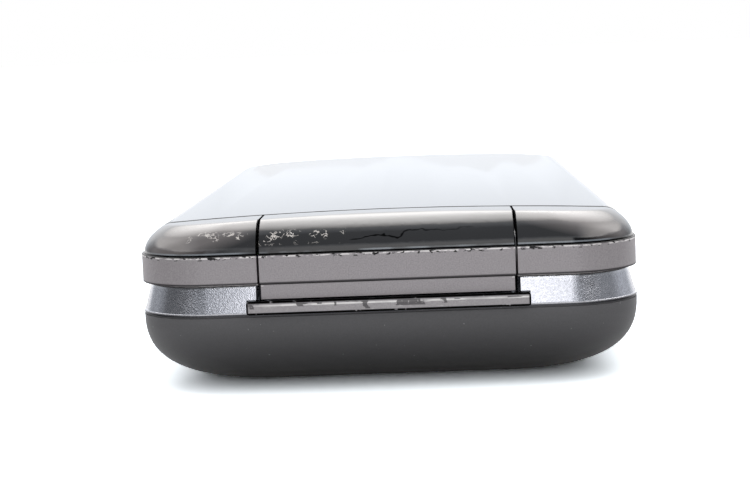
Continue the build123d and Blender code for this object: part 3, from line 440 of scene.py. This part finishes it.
tone = over(tree, times(tree, chipped, 0.85), tone, linear("#454345"))
close_finish(tree, tone, maths(tree, "SUBTRACT", flake, chipped), 0.03, Metallic=metal, Roughness=0.4)
dress("hinge_bar", bar_paint, 0.05)

# Lid panel and hinge caps: piano-black acrylic, moulded and polished. The
# caps carry a painted highlight on their shoulders and are scuffed in patches,
# and a fine crack runs over the middle.
piano, tree, spot = new_finish("polished_piano_black_acrylic")
axes = xyz(tree, spot)
band_z = band_high.z
smudge = noise(tree, spot, 14.0, 3.0)
tone = over(tree, smudge, linear("#08080a"), linear("#101012"))

# Painted highlight on the side caps' shoulders, and at the foot a painted shadow
# line with a painted highlight above it.
outward = maths(tree, "ABSOLUTE", axes["X"])
shoulder_highlight_slope, shoulder_highlight_lean = 0.29, -0.025
shoulder = maths(tree, "MULTIPLY_ADD", outward, shoulder_highlight_slope, axes["Z"])
shoulder = maths(tree, "MULTIPLY_ADD", axes["X"], shoulder_highlight_lean, shoulder)
hinge_end = span(tree, axes["Y"], -0.051, -0.0485, 1.0, 0.0)
painted_shoulder_highlight = times(
    tree, span(tree, shoulder, 0.0193, 0.0206), span(tree, outward, 0.0115, 0.0145),
    span(tree, smudge, 0.25, 0.6, 0.7, 1.0), hinge_end,
)
# Painted highlight: a pale taupe wash over the side caps' upper shoulders.
tone = over(tree, painted_shoulder_highlight, tone, linear("#646060"))
# Painted shadow: a black line at the caps' foot, just above the band.
painted_foot_shadow = between(tree, axes["Z"], band_z, band_z + 0.00012, 0.00004)
tone = over(tree, painted_foot_shadow, tone, linear("#020202"))
# Painted highlight: a pale bluish line just above the painted shadow, broken up by noise.
painted_foot_highlight = between(tree, axes["Z"], band_z + 0.00018, band_z + 0.00026, 0.00007)
foot_highlight_breakup = span(tree, noise(tree, spot, 4.0, 2.0), 0.4, 0.55)
tone = over(tree, times(tree, painted_foot_highlight, foot_highlight_breakup, 0.6), tone, linear("#8f979f"))

# Scuffs: short strokes out of a net of bent cells, in patches on the left.
bent = add_node(tree, "ShaderNodeTexNoise", Vector=spot, Scale=1500.0, Detail=3.0).outputs["Color"]
wander = add_node(tree, "ShaderNodeVectorMath", {"operation": "SCALE"}, i0=bent, Scale=0.0012)
moved = add_node(tree, "ShaderNodeVectorMath", {"operation": "ADD"}, i0=spot, i1=wander.outputs[0])
grown = add_node(tree, "ShaderNodeMapping", Vector=moved.outputs[0], Scale=(1900.0, 1900.0, 1900.0))
edges = {"feature": "DISTANCE_TO_EDGE"}
worm = add_node(tree, "ShaderNodeTexVoronoi", edges, Vector=grown.outputs[0], Scale=1.0)
lines = span(tree, worm.outputs["Distance"], 0.03, 0.075, 1.0, 0.0)
patchy = span(tree, noise(tree, spot, 1.5, 1.0), 0.5, 0.56)
scuff_x = between(tree, axes["X"], -0.0187, -0.0045, 0.0008)
scuff_z = between(tree, axes["Z"], band_z + 0.0012, band_z + 0.0019, 0.0004)
strokes = span(tree, noise(tree, spot, 0.6, 1.0), 0.42, 0.48)
scuffs = times(tree, lines, strokes, patchy, scuff_x, scuff_z, hinge_end)
seam_x, seam_half = 0.01245, 0.00016
seam_dirt = between(tree, outward, seam_x - seam_half, seam_x + seam_half, 0.00003)
seam_dirt = times(tree, seam_dirt, hinge_end)
tone = over(tree, seam_dirt, tone, linear("#020202"))
tone = over(tree, times(tree, scuffs, 0.8), tone, linear("#d8d4cf"))

# The crack, and black dirt in it and in the seams, and the painted shadow at the foot.
crack_wave, crack_slope = 0.0022, -0.05
wavy = maths(tree, "MULTIPLY_ADD", noise(tree, spot, 3.0, 3.0), crack_wave, axes["Z"])
wavy = maths(tree, "MULTIPLY_ADD", axes["X"], crack_slope, wavy)
crack = between(tree, wavy, band_z + 0.00245, band_z + 0.00251, 0.00004)
crack = times(tree, crack, between(tree, axes["X"], -0.0032, 0.0082, 0.0004), hinge_end)
crack = times(tree, crack, span(tree, axes["X"], 0.001, 0.008, 0.9, 0.35))
tone = over(tree, crack, tone, linear("#000000"))
dirt_and_painted_shadow = maths(tree, "MAXIMUM", maths(tree, "MAXIMUM", crack, painted_foot_shadow), seam_dirt)

# The arched joint between the panel and the centre cap is dull, like the seams.
joint_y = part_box("centre_hinge_cap")[1].y
dulled = between(tree, axes["Y"], joint_y - 0.0004, joint_y + 0.0004, 0.0001)
dulled = times(tree, dulled, span(tree, axes["Z"], band_z + 0.001, band_z + 0.0015))
dull = maths(tree, "MULTIPLY_ADD", maths(tree, "MAXIMUM", dulled, seam_dirt), 0.85, 0.07)
close_finish(tree, tone, scuffs, 0.02, Roughness=dull, Metallic=dirt_and_painted_shadow)
for name in ("lid_panel", "left_hinge_cap", "right_hinge_cap", "centre_hinge_cap"):
    dress(name, piano, 0.06)

# Screw plugs, lid pads and connector cover: moulded black rubber, pressed into
# their seats. Pale dust clings to it in spots.
rubber, tree, spot = new_finish("moulded_black_rubber")
grain = noise(tree, spot, 0.12, 3.0)
tone = over(tree, grain, linear("#151516"), linear("#242425"))
dust = span(tree, noise(tree, spot, 0.5, 3.0), 0.66, 0.8)
tone = over(tree, times(tree, dust, 0.3), tone, linear("#6f6f70"))
close_finish(tree, tone, grain, 0.02, Roughness=0.72)
for name in ("screw_plugs", "lid_pads", "connector_cover"):
    dress(name, rubber, 0.05)

# Case screws, hinge shaft and cam: turned steel, with fine rings round the
# cut and a thin film of oil that leaves duller patches.
turned, tree, spot = new_finish("turned_and_oiled_steel")
rings = streaks(tree, spot, (0.08, 4.0, 0.08), 2.0)
tone = over(tree, rings, linear("#8b8b8d"), linear("#b4b4b6"))
film = noise(tree, spot, 2.5, 2.0)
tone = over(tree, times(tree, film, 0.35), tone, linear("#5f5d59"))
close_finish(tree, tone, rings, 0.01, Metallic=1.0, Roughness=0.33)
for name in ("case_screws", "hinge_shaft", "cam_follower"):
    dress(name, turned, 0.03)

# Hinge spring: drawn music wire, coiled and tempered to a straw tint.
wire, tree, spot = new_finish("drawn_and_tempered_spring_wire")
drawn = noise(tree, spot, 0.2, 2.0)
tone = over(tree, drawn, linear("#77716a"), linear("#a59c90"))
close_finish(tree, tone, drawn, 0.01, Metallic=1.0, Roughness=0.3)
dress("hinge_spring", wire)

# Hinge can, board shield, motor, connector shell and magnet: stamped and
# tinned steel, rolled one way, with dull spots where the tin is thin.
tinned, tree, spot = new_finish("stamped_tinned_steel")
rolled_grain = streaks(tree, spot, (0.12, 5.0, 0.5), 2.0)
tone = over(tree, rolled_grain, linear("#9a9b9d"), linear("#c2c3c4"))
thin = span(tree, noise(tree, spot, 1.8, 3.0), 0.55, 0.7)
tone = over(tree, times(tree, thin, 0.4), tone, linear("#77777a"))
close_finish(tree, tone, rolled_grain, 0.01, Metallic=1.0, Roughness=0.36)
for name in ("hinge_can", "board_shield", "vibration_motor", "charge_connector", "lid_magnet"):
    dress(name, tinned, 0.03)

# Hinge bush: natural acetal, moulded, slightly translucent and waxy.
acetal, tree, spot = new_finish("moulded_natural_acetal")
cloudy = noise(tree, spot, 1.0, 2.0)
tone = over(tree, cloudy, linear("#cfcabd"), linear("#dedacf"))
waxy = {"Subsurface_Weight": 0.15, "Subsurface_Scale": 0.0005}
close_finish(tree, tone, cloudy, 0.01, Roughness=0.42, **waxy)
dress("hinge_bush", acetal, 0.04)

# Flat cable: polyimide film under a black shielding film, laminated over its
# copper tracks, which show as faint ribs. It twists inside the barrel.
film, tree, spot = new_finish("black_shielded_polyimide_film")
axes = xyz(tree, spot)
wave = maths(tree, "SINE", maths(tree, "MULTIPLY", axes["X"], 2 * pi / 0.0004))
track = span(tree, wave, -0.1, 0.1)
tone = over(tree, track, linear("#131314"), linear("#1e1e20"))
tone = over(tree, times(tree, noise(tree, spot, 3.0), 0.3), tone, linear("#2c2b2b"))
close_finish(tree, tone, track, 0.01, Roughness=0.45)
dress("flex_cable", film, twist=(-0.0138, -0.0082))

# Main board and lid board: epoxy glass under green solder mask, etched with
# tracks and plated pads. The chips are black moulded epoxy.
etched, tree, spot = new_finish("green_solder_mask_over_etched_copper")
axes = xyz(tree, spot)
chip_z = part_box("lid_board")[1].z - 0.0006
laid = add_node(tree, "ShaderNodeMapping", Vector=spot, Rotation=(0, 0, radians(45)))
brick = {"Vector": laid.outputs[0], "Scale": 700.0, "Mortar_Size": 0.05, "Bias": 0.1}
maze = add_node(tree, "ShaderNodeTexBrick", **brick).outputs["Fac"]
tone = over(tree, maze, linear("#12472b"), linear("#1f6a40"))
dots = add_node(tree, "ShaderNodeTexVoronoi", Vector=spot, Scale=420.0).outputs["Distance"]
plated = span(tree, dots, 0.12, 0.15, 1.0, 0.0)
tone = over(tree, plated, tone, linear("#c9b26a"))
raised = span(tree, axes["Z"], chip_z - 0.00005, chip_z)
tone = over(tree, raised, tone, linear("#1d1d1e"))
close_finish(tree, tone, maze, 0.02, Roughness=0.4)
dress("main_board", etched)
dress("lid_board", etched)

# Dome sheet: clear polyester that holds the snap domes, pressed from spring
# steel, over their pads.
domes, tree, spot = new_finish("polyester_sheet_over_steel_domes")
axes = xyz(tree, spot)
sheet_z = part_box("dome_sheet")[0].z
raised = span(tree, axes["Z"], sheet_z + 0.00011, sheet_z + 0.00016)
brushed = noise(tree, spot, 0.3)
tone = over(tree, raised, linear("#b9bab0"), linear("#d6d6d4"))
tone = over(tree, times(tree, brushed, 0.25), tone, linear("#8f908a"))
close_finish(tree, tone, brushed, 0.01, Metallic=raised, Roughness=0.3)
dress("dome_sheet", domes)

# Loudspeaker, camera, earpiece and microphone: moulded black housings with
# a fine spark-eroded texture.
eroded, tree, spot = new_finish("spark_eroded_black_nylon")
pits = noise(tree, spot, 0.14, 3.0)
tone = over(tree, pits, linear("#141415"), linear("#29292a"))
close_finish(tree, tone, pits, 0.02, Roughness=0.6)
for name in ("loudspeaker", "camera_module", "earpiece", "microphone"):
    dress(name, eroded, 0.04)

# Antenna: brass, stamped flat and gone dull in patches.
brass, tree, spot = new_finish("stamped_brass")
drag = streaks(tree, spot, (0.1, 3.0, 0.4), 2.0)
tone = over(tree, drag, linear("#b1924f"), linear("#d3b774"))
tone = over(tree, times(tree, noise(tree, spot, 1.5, 3.0), 0.35), tone, linear("#7f6232"))
close_finish(tree, tone, drag, 0.01, Metallic=1.0, Roughness=0.32)
dress("antenna", brass, 0.03)

# Battery: an aluminium can in a plain dark heat-shrunk wrap, with the wrap's
# overlap showing as a step along one side.
wrap, tree, spot = new_finish("heat_shrunk_plain_battery_wrap")
axes = xyz(tree, spot)
wrap_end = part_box("battery")[0].x + 0.004
ripple = streaks(tree, spot, (6.0, 1.2, 2.0), 2.0)
tone = over(tree, ripple, linear("#333438"), linear("#404247"))
overlap = between(tree, axes["X"], wrap_end, wrap_end + 0.0002, 0.0001)
tone = over(tree, times(tree, overlap, 0.7), tone, linear("#1d1e20"))
close_finish(tree, tone, ripple, 0.03, Roughness=0.35)
dress("battery", wrap, 0.06)

# Camera window: a glass disc in the rear case, printed black on its inner
# face round a clear opening, with a coated lens showing purple behind it.


def from_middle(tree, place, name):
    """Distance level with the ground from the middle of a piece."""
    middle = sum(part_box(name), Vector()) / 2
    axis = (middle.x, middle.y, 0)
    away = add_node(tree, "ShaderNodeVectorMath", {"operation": "SUBTRACT"}, i0=place, i1=axis).outputs[0]
    flat = add_node(tree, "ShaderNodeVectorMath", {"operation": "MULTIPLY"}, i0=away, i1=(1, 1, 0))
    made = add_node(tree, "ShaderNodeVectorMath", {"operation": "LENGTH"}, i0=flat.outputs[0])
    return made.outputs["Value"]


pane, tree, spot = new_finish("printed_and_coated_lens_glass")
radius = from_middle(tree, spot, "camera_window")
tone = over(tree, span(tree, radius, 0.0008, 0.0011), linear("#1b1430"), linear("#0a0b12"))
tone = over(tree, between(tree, radius, 0.0017, 0.0019, 0.00006), tone, linear("#55555a"))
tone = over(tree, span(tree, radius, 0.0021, 0.0022), tone, linear("#050506"))
tone = over(tree, times(tree, noise(tree, spot, 2.0, 3.0), 0.06), tone, linear("#8a8a8e"))
close_finish(tree, tone, radius, 0.0, Roughness=0.06, Coat_Weight=0.6, Coat_Roughness=0.03)
dress("camera_window", pane, 0.05)

# Display window: chemically hardened glass, printed black round the screen
# area, with the switched-off panel showing dark grey through it.
window_glass, tree, spot = new_finish("hardened_glass_over_dark_panel")
axes = xyz(tree, spot)
panel_low, panel_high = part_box("display_module")
side = panel_high.x - 0.0008
across = span(tree, maths(tree, "ABSOLUTE", axes["X"]), side, side + 0.00005, 1.0, 0.0)
along = between(tree, axes["Y"], panel_low.y + 0.002, panel_high.y - 0.0015, 0.00005)
screen = times(tree, across, along)
tone = over(tree, screen, linear("#050506"), linear("#14171a"))
rows = maths(tree, "SINE", maths(tree, "MULTIPLY", axes["Y"], 2 * pi / 0.0003))
tone = over(tree, times(tree, screen, span(tree, rows, 0.2, 0.9), 0.2), tone, linear("#23272c"))
smear = times(tree, noise(tree, spot, 11.0, 4.0, 1.0), noise(tree, spot, 1.2, 2.0), 0.12)
tone = over(tree, smear, tone, linear("#6a6d70"))
close_finish(tree, tone, smear, 0.004, Roughness=0.05)
dress("display_window", window_glass, 0.05)

# Display module: the panel and its light guide in a pressed dark frame.
stack, tree, spot = new_finish("laminated_display_panel")
axes = xyz(tree, spot)
layers = maths(tree, "SINE", maths(tree, "MULTIPLY", axes["Z"], 2 * pi / 0.0004))
tone = over(tree, span(tree, layers, -0.2, 0.2), linear("#1a1c1f"), linear("#3a3d42"))
tone = over(tree, times(tree, noise(tree, spot, 2.0), 0.2), tone, linear("#55585c"))
close_finish(tree, tone, layers, 0.01, Roughness=0.25)
dress("display_module", stack, 0.04)

# Keys: caps moulded in black polycarbonate with a satin face, polished by
# thumbs in the middle, each printed with one plain mark.
keycap, tree, spot = new_finish("satin_black_polycarbonate_keycap")
grain = noise(tree, spot, 0.12, 2.0)
thumbed = noise(tree, spot, 7.0, 2.0)
tone = over(tree, grain, linear("#121214"), linear("#1d1d20"))
tone = over(tree, times(tree, thumbed, 0.25), tone, linear("#2d2d31"))
close_finish(tree, tone, grain, 0.01, Roughness=0.3)

inks = {}
for ink_name, thin, full in (
    ("pale", "#c9ced4", "#eef1f4"),
    ("green", "#2f9e55", "#57c47a"),
    ("red", "#b32f2b", "#d9524b"),
):
    inks[ink_name], tree, spot = new_finish(ink_name + "_screen_printed_ink")
    rubbed_off = noise(tree, spot, 0.35, 3.0)
    tone = over(tree, rubbed_off, linear(thin), linear(full))
    close_finish(tree, tone, rubbed_off, 0.005, Roughness=0.5)


def print_on(key, mesh, finish, name):
    """Lays a flat printed mark on a key's face, read with the hinge at the top."""
    ink_lift = 0.000012
    low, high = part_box(key)
    centre = (low + high) / 2
    face = Matrix.Translation((centre.x, centre.y, high.z + ink_lift))
    mesh.transform(face @ Matrix.Rotation(pi, 4, "Z"))
    mesh.materials.clear()
    mesh.materials.append(finish)
    piece = bpy.data.objects.new(name, mesh)
    bpy.context.scene.collection.objects.link(piece)
    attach(piece, frame["nodes"][key]["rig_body"])


def outline_mesh(name, *loops_mm):
    """Flat faces from closed loops of points in millimetres."""
    mesh = bpy.data.meshes.new(name)
    shape = bmesh.new()
    for loop in loops_mm:
        shape.faces.new([shape.verts.new((x / 1000, y / 1000, 0)) for x, y in loop])
    bmesh.ops.recalc_face_normals(shape, faces=shape.faces)
    for face in shape.faces:
        if face.normal.z < 0:
            face.normal_flip()
    shape.to_mesh(mesh)
    shape.free()
    return mesh


def bar_loop(x_low, x_high, y_low, y_high):
    """The corners of a printed bar."""
    return [(x_low, y_low), (x_high, y_low), (x_high, y_high), (x_low, y_high)]


digit_size, star_growth = 0.0052, 1.5
for key, digit in (
    ("key_1", "1"), ("key_2", "2"), ("key_3", "3"), ("key_4", "4"), ("key_5", "5"), ("key_6", "6"),
    ("key_7", "7"), ("key_8", "8"), ("key_9", "9"), ("key_star", "*"), ("key_0", "0"), ("key_hash", "#"),
):
    dress(key, keycap, 0.05)
    letters = bpy.data.curves.new(key + "_print", "FONT")
    letters.body = digit
    letters.size = digit_size
    letters.align_x = "CENTER"
    letters.align_y = "CENTER"
    holder = bpy.data.objects.new(key + "_print_source", letters)
    bpy.context.scene.collection.objects.link(holder)
    mesh = bpy.data.meshes.new_from_object(holder)
    bpy.data.objects.remove(holder)
    across = [v.co.x for v in mesh.vertices]
    along = [v.co.y for v in mesh.vertices]
    middle = Vector(((min(across) + max(across)) / 2, (min(along) + max(along)) / 2, 0))
    growth = star_growth if digit == "*" else 1.0
    mesh.transform(Matrix.Scale(growth, 4) @ Matrix.Translation(-middle))
    print_on(key, mesh, inks["pale"], key + "_print")

for key, mark_ink in (("call_key", "green"), ("clear_key", "pale"), ("end_key", "red")):
    dress(key, keycap, 0.05)
    bars = outline_mesh(key + "_print", bar_loop(-2.1, 2.1, -0.35, 0.35))
    print_on(key, bars, inks[mark_ink], key + "_print")
for key in ("left_soft_key", "right_soft_key"):
    dress(key, keycap, 0.05)
    bars = outline_mesh(key + "_print", bar_loop(-1.4, 1.4, -0.2, 0.2))
    print_on(key, bars, inks["pale"], key + "_print")

# The mail key shows a plain envelope and the web key a plain ring.
dress("mail_key", keycap, 0.05)
envelope = outline_mesh(
    "mail_key_print",
    bar_loop(-1.7, 1.7, -1.1, -0.9),
    bar_loop(-1.7, 1.7, 0.9, 1.1),
    bar_loop(-1.7, -1.5, -0.9, 0.9),
    bar_loop(1.5, 1.7, -0.9, 0.9),
    [(-1.5, 0.9), (-1.2, 0.9), (0, 0.1), (1.2, 0.9), (1.5, 0.9), (0, -0.15)],
)
print_on("mail_key", envelope, inks["pale"], "mail_key_print")
dress("web_key", keycap, 0.05)
loop_inner, loop_outer, loop_facets = 1.15, 1.4, 32
loops = []
for step in range(loop_facets):
    start, stop = 2 * pi * step / loop_facets, 2 * pi * (step + 1) / loop_facets
    corners = ((loop_inner, start), (loop_outer, start), (loop_outer, stop), (loop_inner, stop))
    loops.append([(r * cos(a), r * sin(a)) for r, a in corners])
print_on("web_key", outline_mesh("web_key_print", *loops), inks["pale"], "web_key_print")

# Direction ring: a tilting ring in silver metallic paint, spun to a fine
# circular grain and printed with an arrow each way. The select key is black.
spun, tree, spot = new_finish("spun_silver_metallic_paint")
spun_at = add_node(tree, "ShaderNodeCombineXYZ", X=from_middle(tree, spot, "nav_ring"))
turning = noise(tree, spun_at.outputs[0], 0.1, 2.0)
tone = over(tree, turning, linear("#85878d"), linear("#a9abb1"))
close_finish(tree, tone, turning, 0.008, Metallic=0.8, Roughness=0.3)
dress("nav_ring", spun, 0.05)
dress("ok_key", keycap, 0.05)
arrow_tip, arrow_foot, arrow_half = 8.5, 7.4, 0.8
arrows = []
for quarter in range(4):
    a = quarter * pi / 2
    corners = ((arrow_tip, 0.0), (arrow_foot, arrow_half), (arrow_foot, -arrow_half))
    arrows.append([(x * cos(a) - y * sin(a), x * sin(a) + y * cos(a)) for x, y in corners])
print_on("nav_ring", outline_mesh("nav_ring_print", *arrows), keycap, "nav_ring_print")
dot_radius, dot_facets = 0.6, 24
turns = [2 * pi * step / dot_facets for step in range(dot_facets)]
dot = outline_mesh("ok_key_print", [(dot_radius * cos(a), dot_radius * sin(a)) for a in turns])
print_on("ok_key", dot, inks["pale"], "ok_key_print")
